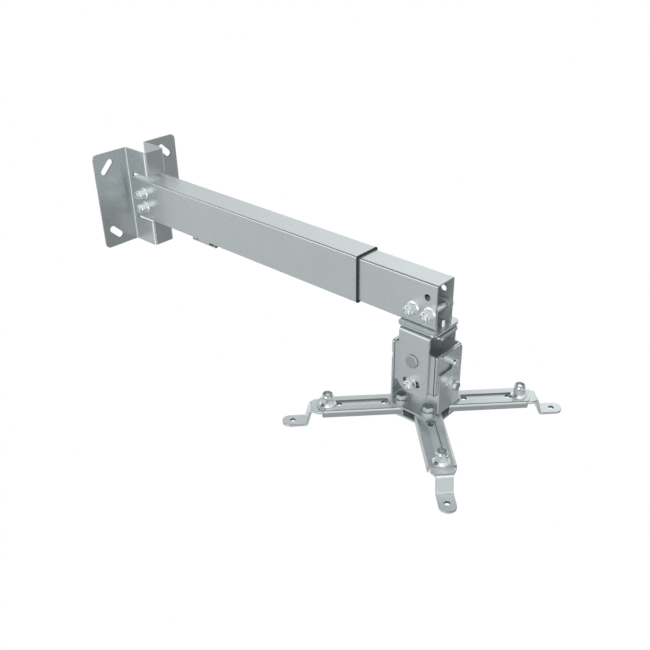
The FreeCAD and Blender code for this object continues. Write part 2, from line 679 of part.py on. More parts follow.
def make_tilt_pieces():
    """Two rivets on the tilt axis, and the long lock bolt with its nut in the yoke's curved slots."""
    half = YOKE_WIDTH / 2
    inner = BOX_WIDTH / 2 - HEAD_SHEET
    rivets = []
    for side in (-1, 1):
        out = X_AXIS * side
        centre = Vector(0, -TILT_Y, TILT_Z)
        head = rod(RIVET_HEAD_RADIUS, centre + out * half, centre + out * (half + RIVET_HEAD_HEIGHT))
        shank = rod(M8_RADIUS, centre + out * inner, centre + out * half)
        tail = rod(RIVET_HEAD_RADIUS - 1, centre + out * (inner - 1.5), centre + out * inner)
        rivets.append(head.fuse([shank, tail]).removeSplitter())
    lock = Vector(0, -TILT_Y, TILT_Z - TILT_LOCK_RADIUS)
    near = lock - X_AXIS * half
    tip = near - X_AXIS * (TILT_NUT_HEIGHT - LOCK_NUT_RECESS)
    bolt = hex_bolt(lock + X_AXIS * half, X_AXIS, tip)
    return group(rivets), bolt, lock_nut(near, -X_AXIS, TILT_NUT_HEIGHT, NUT_FLATS, TILT_NUT_FLANGE)


def make_roll_pieces():
    """Short bolts through the front and rear walls: two to turn on, two to lock."""
    pivots = []
    locks = []
    nuts = []
    wall = BOX_LENGTH / 2
    for side in (-1, 1):
        out = Y_AXIS * side
        face = wall + HEAD_SHEET
        pivot = Vector(0, -HEAD_Y, ROLL_Z)
        bolt = rod(ROLL_HEAD_RADIUS, pivot + out * face, pivot + out * (face + ROLL_HEAD_HEIGHT))
        end = wall - HEAD_SHEET - ROLL_INNER_NUT_HEIGHT - 1.5
        bolt = bolt.fuse(rod(M6_RADIUS, pivot + out * end, pivot + out * face))
        pivots.append(bolt.removeSplitter())
        inner = pivot + out * (wall - HEAD_SHEET)
        nuts.append(plain_nut(inner, -out, M6_RADIUS, NUT_FLATS, ROLL_INNER_NUT_HEIGHT))
        lock = Vector(0, -HEAD_Y, ROLL_Z - ROLL_LOCK_RADIUS)
        tip = lock + out * (face + ROLL_NUT_HEIGHT - LOCK_NUT_RECESS)
        locks.append(hex_bolt(lock + out * (wall - HEAD_SHEET), -out, tip))
        nuts.append(lock_nut(lock + out * face, out, ROLL_NUT_HEIGHT))
    return group(pivots), group(locks), group(nuts)


def arm_bolt_places():
    """Where the four arms turn, with each arm's own direction at rest."""
    places = []
    for i in range(ARM_COUNT):
        angle = ARM_FIRST_ANGLE + 360.0 / ARM_COUNT * i
        x = math.copysign(ARM_BOLT_OFFSET, math.cos(math.radians(angle)))
        y = math.copysign(ARM_BOLT_OFFSET, math.sin(math.radians(angle))) - HEAD_Y
        places.append((x, y, angle))
    return places


def make_base_bracket():
    """The base plate with a front and a rear upright, each with a hook slot and a curved slot."""
    reach = BOX_LENGTH / 2 + HEAD_SHEET
    half = UPRIGHT_WIDTH / 2
    fold = reach - HEAD_SHEET - HEAD_BEND
    path = [
        (-HEAD_Y - reach, UPRIGHT_TOP),
        (-HEAD_Y - reach, BASE_BOTTOM),
        (-HEAD_Y + reach, BASE_BOTTOM),
        (-HEAD_Y + reach, UPRIGHT_TOP),
    ]
    folded = along_x(bent_sheet_face(path, HEAD_SHEET, HEAD_BEND), -half, half)
    base_half = BASE_WIDTH / 2
    base_reach = BASE_LENGTH / 2
    view = rectangle(-base_half, base_half, -HEAD_Y - base_reach, -HEAD_Y + base_reach, BASE_CORNER)
    bracket = along_z(view, BASE_BOTTOM, BASE_BOTTOM + HEAD_SHEET)
    for side, inset in ((-1, FRONT_UPRIGHT_INSET), (1, REAR_UPRIGHT_INSET)):
        left = inset - half
        low, high = sorted((-HEAD_Y + side * fold, -HEAD_Y + side * BIG))
        window = block(left - BEND_RELIEF, half + BEND_RELIEF, low, high, -BIG, BIG)
        upright_view = rounded_face([
            (left, BASE_BOTTOM, 0),
            (half, BASE_BOTTOM, 0),
            (half, UPRIGHT_TOP, UPRIGHT_CORNER),
            (left, UPRIGHT_TOP, UPRIGHT_HOOK_CORNER),
        ])
        upright = folded.common(along_y(upright_view, low, high))
        bracket = bracket.cut(window).fuse(upright)
    bracket = bracket.removeSplitter()
    slot_middle = ROLL_Z - HOOK_DROP
    slot_half = M6_RADIUS + PIVOT_GAP
    pivot = Vector(0, -HEAD_Y, ROLL_Z)
    entry = Vector(-half * 2, -HEAD_Y, slot_middle)
    corner = Vector(0, -HEAD_Y, slot_middle)
    depth = reach * 4
    bracket = bracket.cut(straight_slot(entry, corner, slot_half, Y_AXIS, depth))
    bracket = bracket.cut(straight_slot(corner, pivot, slot_half, Y_AXIS, depth))
    for side in (-1, 1):
        centre = pivot + Y_AXIS * (side * reach)
        bracket = bracket.cut(arc_slot(centre, Y_AXIS, -Z_AXIS, ROLL_LOCK_RADIUS, ROLL_LIMIT, M6_SLOT))
    for x, y, angle in arm_bolt_places():
        centre = Vector(x, y, BASE_BOTTOM)
        bracket = bracket.cut(rod(M6_HOLE, centre - Z_AXIS * DRILL_REACH, centre + Z_AXIS * DRILL_REACH))
    return bracket


def make_bottom_plate():
    """The plate under the arms."""
    half = BASE_WIDTH / 2
    reach = BASE_LENGTH / 2
    view = rectangle(-half, half, -HEAD_Y - reach, -HEAD_Y + reach, BASE_CORNER)
    plate = along_z(view, BOTTOM_PLATE_TOP - BOTTOM_PLATE_SHEET, BOTTOM_PLATE_TOP)
    for x, y, angle in arm_bolt_places():
        centre = Vector(x, y, BOTTOM_PLATE_TOP)
        plate = plate.cut(rod(M6_HOLE, centre - Z_AXIS * DRILL_REACH, centre + Z_AXIS * DRILL_REACH))
    return plate


def make_base_fasteners():
    """Four bolts that the arms turn on, with nuts under the bottom plate."""
    bolts = []
    nuts = []
    low = BOTTOM_PLATE_TOP - BOTTOM_PLATE_SHEET
    for x, y, angle in arm_bolt_places():
        seat = Vector(x, y, BASE_BOTTOM + HEAD_SHEET)
        tip = Vector(x, y, low - BASE_NUT_HEIGHT - 1.0)
        bolts.append(flanged_bolt(seat, Z_AXIS, tip, BASE_HEAD_HEIGHT, BASE_HEAD_FLANGE))
        nuts.append(plain_nut(Vector(x, y, low), -Z_AXIS, M6_RADIUS, NUT_FLATS, BASE_NUT_HEIGHT))
    return group(bolts), group(nuts)


def make_arm():
    """A slotted channel, open below, drawn along +X from its pivot with its top at height 0."""
    half = ARM_WIDTH / 2
    path = [(half, -ARM_HEIGHT), (half, 0), (-half, 0), (-half, -ARM_HEIGHT)]
    arm = along_x(bent_sheet_face(path, ARM_SHEET, ARM_BEND), -half, ARM_REACH)
    inner = Part.Arc(Vector(0, -half, 0), Vector(-half, 0, 0), Vector(0, half, 0))
    outer = Part.Arc(Vector(ARM_SHOULDER, half, 0), Vector(ARM_REACH, 0, 0), Vector(ARM_SHOULDER, -half, 0))
    edges = [
        inner.toShape(),
        Part.LineSegment(Vector(0, half, 0), Vector(ARM_SHOULDER, half, 0)).toShape(),
        outer.toShape(),
        Part.LineSegment(Vector(ARM_SHOULDER, -half, 0), Vector(0, -half, 0)).toShape(),
    ]
    plan = Part.Face(Part.Wire(edges))
    arm = arm.common(along_z(plan, -ARM_HEIGHT, 0))
    arm = arm.cut(block(-half - 1, 0, -BIG, BIG, -BIG, -ARM_SHEET))
    pivot_hole = rod(M6_RADIUS + PIVOT_GAP, Z_AXIS * -DRILL_REACH, Z_AXIS * DRILL_REACH)
    arm = arm.cut(pivot_hole)
    slot_half = ARM_SLOT_WIDTH / 2
    start = Vector(ARM_SLOT_START + slot_half, 0, 0)
    end = Vector(ARM_SLOT_END - slot_half, 0, 0)
    return arm.cut(straight_slot(start, end, slot_half, Z_AXIS, 3 * ARM_SHEET))


def make_foot_strap():
    """The flat strap inside the arm. It steps down outside the arm to a tongue with a hole."""
    top = -ARM_SHEET
    tongue = top - STRAP_DROP
    half = ARM_WIDTH / 2 - ARM_SHEET - STRAP_SIDE_GAP
    tongue_half = STRAP_TONGUE_WIDTH / 2
    path = [
        (STRAP_END, tongue),
        (STRAP_BEND_FOOT, tongue),
        (STRAP_BEND_TOP, top),
        (STRAP_START, top),
    ]
    strap = along_y(bent_sheet_face(path, STRAP_SHEET, STRAP_BEND), -half, half)
    plan = rounded_face([
        (STRAP_START, -half, 2.0),
        (STRAP_SHOULDER, -half, 1.0),
        (STRAP_NECK, -tongue_half, 1.0),
        (STRAP_END, -tongue_half, tongue_half - 0.5),
        (STRAP_END, tongue_half, tongue_half - 0.5),
        (STRAP_NECK, tongue_half, 1.0),
        (STRAP_SHOULDER, half, 1.0),
        (STRAP_START, half, 2.0),
    ])
    strap = strap.common(along_z(plan, -BIG, BIG))
    section = rounded_face([
        (-half, -BIG, 0),
        (half, -BIG, 0),
        (half, top, STRAP_EDGE),
        (-half, top, STRAP_EDGE),
    ])
    strap = strap.common(along_x(section, 0, BIG))
    for reach in (STRAP_HOLE,) + STRAP_SPARE_HOLES:
        strap = strap.cut(rod(STRAP_HOLE_RADIUS, Vector(reach, 0, -BIG), Vector(reach, 0, BIG)))
    bolt = Vector(FOOT_BOLT_REACH, 0, 0)
    return strap.cut(rod(M6_HOLE, bolt - Z_AXIS * DRILL_REACH, bolt + Z_AXIS * DRILL_REACH))


def make_foot_bolt():
    """A carriage bolt up through the strap and the arm's slot."""
    seat = Vector(FOOT_BOLT_REACH, 0, -ARM_SHEET - STRAP_SHEET)
    tip = Vector(FOOT_BOLT_REACH, 0, FOOT_NUT_HEIGHT - LOCK_NUT_RECESS)
    head = rod(CARRIAGE_HEAD_RADIUS, seat - Z_AXIS * CARRIAGE_HEAD_HEIGHT, seat)
    return head.fuse(rod(M6_RADIUS, seat, tip)).removeSplitter()


def make_foot_nut():
    """The tall nut that clamps a foot."""
    seat = Vector(FOOT_BOLT_REACH, 0, 0)
    sizes = (FOOT_NUT_HEIGHT, FOOT_NUT_FLATS, FOOT_NUT_FLANGE, FOOT_NUT_FLANGE_HEIGHT)
    return lock_nut(seat, Z_AXIS, *sizes)


def at_arm(shape, place):
    """A copy of an arm's piece at its pivot, turned to its own direction."""
    x, y, angle = place
    copy = shape.copy()
    copy.Placement = Placement(Vector(x, y, BASE_BOTTOM), Rotation(Z_AXIS, angle)).multiply(copy.Placement)
    return copy


def build():
    """Makes every piece and writes it out."""
    save("wall_bracket", make_wall_bracket())
    save("outer_tube", make_outer_tube())
    save("end_collar", make_end_collar())
    bolts, nuts = make_bracket_fasteners()
    save("bracket_bolts", bolts)
    save("bracket_nuts", nuts)

    save("inner_tube", make_inner_tube())
    save("lock_clamp", make_lock_clamp())
    save("lock_bolts", make_lock_bolts())
    save("lock_nut_plate", make_lock_nut_plate())
    save("end_bracket", make_end_bracket())
    bolts, nuts = make_end_fasteners()
    save("end_bolts", bolts)
    save("end_nuts", nuts)

    pivot_bolt, pivot_nut, washer, stud, stud_nut = make_swivel_pieces()
    save("swivel_pivot_bolt", pivot_bolt)
    save("swivel_pivot_nut", pivot_nut)
    save("swivel_washer", washer)
    save("swivel_lock_stud", stud)
    save("swivel_lock_nut", stud_nut)
    save("yoke", make_yoke())

    save("tilt_box", make_tilt_box())
    rivets, bolt, nut = make_tilt_pieces()
    save("tilt_rivets", rivets)
    save("tilt_lock_bolt", bolt)
    save("tilt_lock_nut", nut)
    pivots, locks, nuts = make_roll_pieces()
    save("roll_pivots", pivots)
    save("roll_lock_bolts", locks)
    save("roll_nuts", nuts)

    save("base_bracket", make_base_bracket())
    save("bottom_plate", make_bottom_plate())
    bolts, nuts = make_base_fasteners()
    save("base_bolts", bolts)
    save("base_nuts", nuts)

    arm = make_arm()
    strap = make_foot_strap()
    bolt = make_foot_bolt()
    nut = make_foot_nut()
    for i, place in enumerate(arm_bolt_places()):
        number = str(i + 1)
        save("arm_" + number, at_arm(arm, place))
        save("foot_strap_" + number, at_arm(strap, place))
        save("foot_bolt_" + number, at_arm(bolt, place))
        save("foot_nut_" + number, at_arm(nut, place))


build()
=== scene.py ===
import math

import bmesh
import bpy
from mathutils import Matrix, Vector


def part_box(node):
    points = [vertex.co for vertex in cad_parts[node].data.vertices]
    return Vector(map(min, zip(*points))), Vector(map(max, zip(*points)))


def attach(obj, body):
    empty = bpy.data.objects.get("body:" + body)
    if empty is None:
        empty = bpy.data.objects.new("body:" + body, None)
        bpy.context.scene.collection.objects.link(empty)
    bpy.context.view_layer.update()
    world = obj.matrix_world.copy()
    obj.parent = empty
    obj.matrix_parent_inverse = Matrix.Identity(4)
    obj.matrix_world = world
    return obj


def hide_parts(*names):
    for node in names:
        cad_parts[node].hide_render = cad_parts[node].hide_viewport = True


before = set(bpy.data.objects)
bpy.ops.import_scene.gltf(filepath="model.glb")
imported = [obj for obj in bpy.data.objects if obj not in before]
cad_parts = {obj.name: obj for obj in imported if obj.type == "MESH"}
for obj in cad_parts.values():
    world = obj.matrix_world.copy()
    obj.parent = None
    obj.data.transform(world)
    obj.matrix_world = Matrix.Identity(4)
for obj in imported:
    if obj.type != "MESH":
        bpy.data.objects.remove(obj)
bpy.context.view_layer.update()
scene = bpy.context.scene
scene.view_settings.view_transform = "Standard"


# Camera: to the left of the mount and in front of it, looking down past the head to the wall.
# The view is a little off the lens's centre.
camera_data = bpy.data.cameras.new("camera")
camera = bpy.data.objects.new("camera", camera_data)
scene.collection.objects.link(camera)
scene.camera = camera
turn = math.radians(-49.65)
rise = math.radians(29.67)
backwards = Vector((
    math.sin(turn) * math.cos(rise), -math.cos(turn) * math.cos(rise), math.sin(rise),
))
camera.location = (-0.54983, -0.80925, 0.35249)
camera.rotation_mode = "QUATERNION"
camera.rotation_quaternion = (-backwards).to_track_quat("-Z", "Y")
camera_data.sensor_width = 36.0
camera_data.lens = 44.727
camera_data.shift_x = -0.04143
camera_data.shift_y = -0.00665
camera_data.clip_start = 0.05
camera_data.clip_end = 50.0


# Studio: a pale room seen only in the metal. It grows lighter upwards and towards the wall, with
# dark panels overhead and soft boxes that draw bright lines along the folds of the sheet.
world = bpy.data.worlds.new("studio")
scene.world = world
world.use_nodes = True
tree = world.node_tree
tree.nodes.clear()
out = tree.nodes.new("ShaderNodeOutputWorld")
place = tree.nodes.new("ShaderNodeTexCoord")


def reckoned(operation, first, second):
    """The sum, the product or the larger of two levels, each a socket or a number."""
    node = tree.nodes.new("ShaderNodeMath")
    node.operation = operation
    for i, value in enumerate((first, second)):
        if isinstance(value, float):
            node.inputs[i].default_value = value
        else:
            tree.links.new(value, node.inputs[i])
    return node.outputs[0]


def toward(direction):
    """How nearly a ray points in a direction, from -1 to 1."""
    dot = tree.nodes.new("ShaderNodeVectorMath")
    dot.operation = "DOT_PRODUCT"
    tree.links.new(place.outputs["Generated"], dot.inputs[0])
    dot.inputs[1].default_value = Vector(direction).normalized()
    return dot.outputs["Value"]


def soft_patch(direction, inner, outer, strength):
    """A round patch of lighter or darker wall, whole within one angle and gone at another."""
    ramp = tree.nodes.new("ShaderNodeMapRange")
    ramp.interpolation_type = "SMOOTHSTEP"
    tree.links.new(toward(direction), ramp.inputs["Value"])
    ramp.inputs["From Min"].default_value = math.cos(math.radians(outer))
    ramp.inputs["From Max"].default_value = math.cos(math.radians(inner))
    ramp.inputs["To Min"].default_value = 0.0
    ramp.inputs["To Max"].default_value = strength
    return ramp.outputs["Result"]


plain_level = 0.70
slope = 0.45
darkest = 0.12
level = reckoned("MULTIPLY", toward((0.0, 0.558, 0.83)), slope)
level = reckoned("ADD", level, plain_level)
# Each patch has its direction, the angle within which it is whole, the angle at which it is gone,
# and how much lighter or darker than the plain room it is.
for direction, inner, outer, strength in (
    ((-0.80, 0.56, 0.19), 8.0, 18.0, 0.7),
    ((-0.20, 0.56, 0.80), 18.0, 30.0, -1.0),
    ((-0.55, 0.76, -0.36), 8.0, 24.0, -0.13),
    ((0.20, 0.15, 0.97), 25.0, 36.0, -1.0),
    ((-0.45, -0.60, 0.66), 16.0, 34.0, 0.5),
    ((-0.92, -0.18, -0.34), 12.0, 22.0, 1.2),
    ((-0.56, -0.81, -0.18), 6.0, 18.0, 0.25),
    ((-0.10, -0.92, -0.38), 8.0, 16.0, 0.5),
    ((0.60, -0.70, -0.38), 10.0, 35.0, -0.14),
    ((0.62, 0.40, 0.68), 6.0, 11.0, -0.95),
    ((0.76, 0.32, 0.56), 4.0, 9.0, 0.9),
    ((0.60, 0.71, 0.36), 6.0, 16.0, -0.22),
    ((0.72, 0.54, 0.435), 5.0, 14.0, 0.25),
):
    level = reckoned("ADD", level, soft_patch(direction, inner, outer, strength))
level = reckoned("MAXIMUM", level, darkest)
room = tree.nodes.new("ShaderNodeBackground")
tree.links.new(level, room.inputs["Strength"])
room.inputs["Color"].default_value = (0.985, 1.0, 1.0, 1.0)
white = tree.nodes.new("ShaderNodeBackground")
white.inputs["Color"].default_value = (1.0, 1.0, 1.0, 1.0)
white.inputs["Strength"].default_value = 1.0
rays = tree.nodes.new("ShaderNodeLightPath")
choose = tree.nodes.new("ShaderNodeMixShader")
tree.links.new(rays.outputs["Is Camera Ray"], choose.inputs["Fac"])
tree.links.new(room.outputs[0], choose.inputs[1])
tree.links.new(white.outputs[0], choose.inputs[2])
tree.links.new(choose.outputs[0], out.inputs["Surface"])


# Floor: a wide pale sheet well below the mount, white to the camera, that lights the undersides
# a little. The metal doesn't mirror it.
floor_half = 6.0
floor_middle = (0.0, -0.3, -0.9)
floor_mesh = bmesh.new()
bmesh.ops.create_grid(floor_mesh, x_segments=1, y_segments=1, size=floor_half)
bmesh.ops.translate(floor_mesh, verts=floor_mesh.verts, vec=floor_middle)
floor_data = bpy.data.meshes.new("floor")
floor_mesh.to_mesh(floor_data)
floor_mesh.free()
floor = bpy.data.objects.new("floor", floor_data)
scene.collection.objects.link(floor)
floor.visible_glossy = False
pale = bpy.data.materials.new("pale_floor")
pale.use_nodes = True
nodes = pale.node_tree
nodes.nodes.clear()
surface = nodes.nodes.new("ShaderNodeOutputMaterial")
paint = nodes.nodes.new("ShaderNodeBsdfDiffuse")
paint.inputs["Color"].default_value = (0.8, 0.8, 0.8, 1.0)
glow = nodes.nodes.new("ShaderNodeEmission")
glow.inputs["Color"].default_value = (1.0, 1.0, 1.0, 1.0)
mixed = nodes.nodes.new("ShaderNodeMixShader")
path = nodes.nodes.new("ShaderNodeLightPath")
nodes.links.new(path.outputs["Is Camera Ray"], mixed.inputs["Fac"])
nodes.links.new(paint.outputs[0], mixed.inputs[1])
nodes.links.new(glow.outputs[0], mixed.inputs[2])
nodes.links.new(mixed.outputs[0], surface.inputs["Surface"])
floor_data.materials.append(pale)


# Wall bracket: one piece of 2 mm steel sheet, punched with four slanted slots and folded into
# a hat section, plated after folding. Its broken edges and slot rims carry painted shade in dark
# zinc.
def zinc(name, colour, roughness, grain, cloud=24.0, metallic=0.80):
    """Zinc plate on steel: a cool bright metal, faintly clouded, over the steel's fine grain."""
    material = bpy.data.materials.new(name)
    material.use_nodes = True
    nodes = material.node_tree
    shader = nodes.nodes["Principled BSDF"]
    shader.inputs["Metallic"].default_value = metallic
    coords = nodes.nodes.new("ShaderNodeTexCoord")
    clouds = nodes.nodes.new("ShaderNodeTexNoise")
    clouds.inputs["Scale"].default_value = cloud
    clouds.inputs["Detail"].default_value = 2.0
    clouds.inputs["Roughness"].default_value = 0.62
    nodes.links.new(coords.outputs["Object"], clouds.inputs["Vector"])
    gloss = nodes.nodes.new("ShaderNodeMapRange")
    nodes.links.new(clouds.outputs["Fac"], gloss.inputs["Value"])
    gloss.inputs["From Min"].default_value = 0.3
    gloss.inputs["From Max"].default_value = 0.7
    gloss.inputs["To Min"].default_value = roughness - 0.02
    gloss.inputs["To Max"].default_value = roughness + 0.03
    nodes.links.new(gloss.outputs["Result"], shader.inputs["Roughness"])
    fine = nodes.nodes.new("ShaderNodeTexNoise")
    fine.inputs["Scale"].default_value = 420.0
    fine.inputs["Detail"].default_value = 3.0
    stretch = nodes.nodes.new("ShaderNodeMapping")
    stretch.inputs["Scale"].default_value = grain
    nodes.links.new(coords.outputs["Object"], stretch.inputs["Vector"])
    nodes.links.new(stretch.outputs["Vector"], fine.inputs["Vector"])
    worn = nodes.nodes.new("ShaderNodeMix")
    worn.data_type = "RGBA"
    nodes.links.new(clouds.outputs["Fac"], worn.inputs["Factor"])
    worn.inputs["A"].default_value = (*[c * 0.97 for c in colour], 1.0)
    worn.inputs["B"].default_value = (*[c * 1.03 for c in colour], 1.0)
    nodes.links.new(worn.outputs["Result"], shader.inputs["Base Color"])
    bump = nodes.nodes.new("ShaderNodeBump")
    bump.inputs["Strength"].default_value = 0.006
    bump.inputs["Distance"].default_value = 0.0003
    nodes.links.new(fine.outputs["Fac"], bump.inputs["Height"])
    nodes.links.new(bump.outputs["Normal"], shader.inputs["Normal"])
    return material


def finish_piece(name, shape, metal, body, nodes=(), flats=False):
    """Makes the piece from its mesh, smooth but for real edges, and hands it to its body.

    With flats, the large faces keep their own direction and only the broken edges bend the light."""
    data = bpy.data.meshes.new(name)
    shape.to_mesh(data)
    shape.free()
    data.shade_smooth()
    data.set_sharp_from_angle(angle=math.radians(38))
    data.materials.append(metal)
    piece = bpy.data.objects.new(name, data)
    scene.collection.objects.link(piece)
    even = piece.modifiers.new("even_faces", "WEIGHTED_NORMAL")
    even.keep_sharp = True
    even.weight = 60
    even.use_face_influence = flats
    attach(piece, body)
    if nodes:
        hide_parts(*nodes)
    return piece


def pressed_part(node, metal, edge_shade_metal, body, thickness, edge=0.00015, lining=None):
    """A pressed part as the frame has it, its sharp edges broken, with painted shade in a dark zinc
    on the broken edges and on the rims of its holes and slots.

    A lining is the metal of the faces turned to the part's own middle, painted shade inside the
    hollow. A rim whose faces look at each other belongs to a hole or slot and takes the painted
    shade; the sheared outline stays as bright as the faces."""
    weld = 0.000004
    hollow_reach = 0.0005
    plain, dull, inside = 0, 1, 2
    shape = bmesh.new()
    shape.from_mesh(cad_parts[node].data)
    bmesh.ops.remove_doubles(shape, verts=shape.verts, dist=weld)
    sharp = {e for e in shape.edges if e.is_manifold and e.calc_face_angle() > math.radians(35)}
    low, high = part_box(node)
    middle = (low + high) / 2
    # Side walls turned to the part's middle take the lining: painted shade inside the hollow.
    for face in shape.faces:
        inward = face.normal.dot(face.calc_center_median() - middle) < 0
        if lining and inward and abs(face.normal.z) < 0.5:
            face.material_index = inside
    waiting = set(shape.faces)
    for first in shape.faces:
        if first not in waiting:
            continue
        waiting.remove(first)
        patch = [first]
        area = 0.0
        rim = 0.0
        for face in patch:
            area += face.calc_area()
            for e in face.edges:
                if e in sharp:
                    rim += e.calc_length()
                    continue
                for other in e.link_faces:
                    if other in waiting:
                        waiting.remove(other)
                        patch.append(other)
        if not rim or 2 * area / rim > 1.3 * thickness:
            continue
        centre = Vector()
        for face in patch:
            centre += face.calc_center_median() * face.calc_area() / area
        hollow = 0.0
        for face in patch:
            hollow += face.normal.dot(centre - face.calc_center_median()) * face.calc_area() / area
        # Rims of holes and slots take the dark zinc: painted shade.
        for face in patch:
            face.material_index = dull if hollow > hollow_reach else plain
    edges = [e for e in shape.edges if e in sharp]
    broken = bmesh.ops.bevel(
        shape, geom=edges, offset=edge, offset_type="OFFSET", segments=2, profile=0.5,
        affect="EDGES", material=-1, clamp_overlap=False, face_strength_mode="ALL",
    )
    # The broken edges take the dark zinc too: painted shade along every sharp edge.
    for face in broken["faces"]:
        face.material_index = dull
    piece = finish_piece(node + "_plated", shape, metal, body, (node,), flats=True)
    piece.data.materials.append(edge_shade_metal)
    if lining:
        piece.data.materials.append(lining)
    return piece


sheet_zinc = zinc("sheet_zinc", (0.66, 0.705, 0.715), 0.27, (1.0, 1.0, 0.25))
# The dark zinc of the broken edges and of the rims of holes and slots is painted shade.
edge_shade_zinc = zinc("edge_shade_zinc", (0.20, 0.215, 0.22), 0.40, (1.0, 1.0, 1.0), cloud=90.0)
pressed_part("wall_bracket", sheet_zinc, edge_shade_zinc, "wall", 0.0020)


# Outer tube: welded rectangular steel tube, 1.5 mm wall, cut to length and slotted below.
# The drawn surface has faint lines along its length, and the inside walls take a darker, less
# metallic zinc that is painted shade.
tube_zinc = zinc("tube_zinc", (0.66, 0.705, 0.715), 0.27, (1.0, 0.12, 1.0))
# The inside zinc is painted shade: a darker, less metallic copy of the tube's zinc for walls inside
# hollows.
inside_shade_zinc = zinc("inside_shade_zinc", (0.54, 0.575, 0.585), 0.50, (1.0, 1.0, 1.0), metallic=0.20)
pressed_part("outer_tube", tube_zinc, edge_shade_zinc, "wall", 0.0015, lining=inside_shade_zinc)


# End collar: a thin moulded ring of black plastic, pushed on to the outer tube's mouth. It stops
# the tubes rattling.
collar_plastic = bpy.data.materials.new("collar_plastic")
collar_plastic.use_nodes = True
nodes = collar_plastic.node_tree
shader = nodes.nodes["Principled BSDF"]
coords = nodes.nodes.new("ShaderNodeTexCoord")
speck = nodes.nodes.new("ShaderNodeTexNoise")
speck.inputs["Scale"].default_value = 1400.0
nodes.links.new(coords.outputs["Object"], speck.inputs["Vector"])
tone = nodes.nodes.new("ShaderNodeMix")
tone.data_type = "RGBA"
nodes.links.new(speck.outputs["Fac"], tone.inputs["Factor"])
tone.inputs["A"].default_value = (0.016, 0.018, 0.020, 1.0)
tone.inputs["B"].default_value = (0.030, 0.032, 0.035, 1.0)
nodes.links.new(tone.outputs["Result"], shader.inputs["Base Color"])
dull = nodes.nodes.new("ShaderNodeMapRange")
nodes.links.new(speck.outputs["Fac"], dull.inputs["Value"])
dull.inputs["To Min"].default_value = 0.38
dull.inputs["To Max"].default_value = 0.55
nodes.links.new(dull.outputs["Result"], shader.inputs["Roughness"])
bump = nodes.nodes.new("ShaderNodeBump")
bump.inputs["Strength"].default_value = 0.15
bump.inputs["Distance"].default_value = 0.0001
nodes.links.new(speck.outputs["Fac"], bump.inputs["Height"])
nodes.links.new(bump.outputs["Normal"], shader.inputs["Normal"])
pressed_part("end_collar", collar_plastic, collar_plastic, "wall", 0.0)


# Bracket bolts and nuts: two M6 bolts through the tube and the bracket's webs, drawn up by tall
# flanged lock nuts. Each nut has a ring of pale nylon rolled into its outer end.
SIDES = 48
THREAD_SIDES = 24
M6 = 0.003
M6_THREAD = M6 - 0.00002
M6_SHANK = M6 - 0.0001
M6_FLATS = 0.010
PITCH = 0.001
HEAD_HEIGHT = 0.0045
WASHER_FACE = 0.0125
NUT_FLANGE = 0.014
FLANGE_RISE = 0.0016
TALL_COLLAR = 0.0030
LOW_COLLAR = 0.0026
RING_SINK = 0.0014
CORNER_REACH = 0.568
TURNED_REACH = 0.475


def six_sided(flats, angle):
    """A hexagon's reach from its middle in a given direction, its corners a little soft."""
    off = (angle + math.pi / 6) % (math.pi / 3) - math.pi / 6
    return min(flats / 2 / math.cos(off), flats * CORNER_REACH)


def stacked(shape, rings, seat, out, closed=False):
    """A turned or six-sided body along an axis, built ring on ring from its seat.

    A ring is (kind, size, height): "round" has a radius and "hex" a size across flats. "top" and
    "foot" are hexagons whose corners are turned down or up by the tool that faces the nut."""
    facing = math.tan(math.radians(30))
    begun = bmesh.ops.create_circle(shape, segments=SIDES, radius=1.0)
    loop = begun["verts"]
    made = list(loop)
    edges = list(dict.fromkeys(e for v in loop for e in v.link_edges))
    for i, (kind, size, height) in enumerate(rings):
        if i:
            grown = bmesh.ops.extrude_edge_only(shape, edges=edges)["geom"]
            loop = [g for g in grown if isinstance(g, bmesh.types.BMVert)]
            edges = [g for g in grown if isinstance(g, bmesh.types.BMEdge)]
            made += loop
        for v in loop:
            angle = math.atan2(v.co.y, v.co.x)
            if kind == "round":
                reach, rise = size, height
            else:
                reach = six_sided(size, angle)
                rise = height
                if kind == "top":
                    rise -= max(reach - size * TURNED_REACH, 0.0) * facing
                elif kind == "foot":
                    rise += max(reach - size * TURNED_REACH, 0.0) * facing
            v.co = (reach * math.cos(angle), reach * math.sin(angle), rise)
    if not closed:
        lids = dict.fromkeys(e for v in made for e in v.link_edges if e.is_boundary)
        bmesh.ops.holes_fill(shape, edges=list(lids))
    turned = Vector((0, 0, 1)).rotation_difference(Vector(out)).to_matrix().to_4x4()
    bmesh.ops.transform(shape, matrix=Matrix.Translation(seat) @ turned, verts=made)
    bmesh.ops.remove_doubles(shape, verts=made, dist=0.0000005)
    bmesh.ops.recalc_face_normals(shape, faces=shape.faces)


def nut(shape, seat, out, flats, height, flange=0.0, rise=0.0, collar=0.0, bore=M6):
    """A nut on its seat: a flange that falls away from the hexagon, and a round collar on top."""
    rings = [("round", bore, 0.0002)]
    if flange:
        rings += [
            ("round", flange / 2 - 0.0002, 0.0), ("round", flange / 2, 0.0002),
            ("round", flange / 2, 0.0006), ("round", flange / 2 - 0.0003, 0.0009),
            ("hex", flats, rise),
        ]
    else:
        rings += [("round", flats * 0.47, 0.0), ("foot", flats, 0.0)]
    hex_top = height - collar
    rings += [("top", flats, hex_top), ("round", flats * TURNED_REACH, hex_top)]
    if collar:
        lip = flats / 2 - 0.0004
        rings += [
            ("round", lip, hex_top + 0.0002), ("round", lip, height - 0.0008),
            ("round", lip - 0.0003, height - 0.0002), ("round", lip - 0.0008, height),
            ("round", bore + 0.0014, height - 0.0003), ("round", bore + 0.0013, height - RING_SINK),
            ("round", bore, height - RING_SINK),
        ]
    else:
        rings += [("round", bore + 0.0005, hex_top), ("round", bore, hex_top - 0.0005)]
    rings += [("round", bore, 0.0002)]
    stacked(shape, rings, seat, out, closed=True)


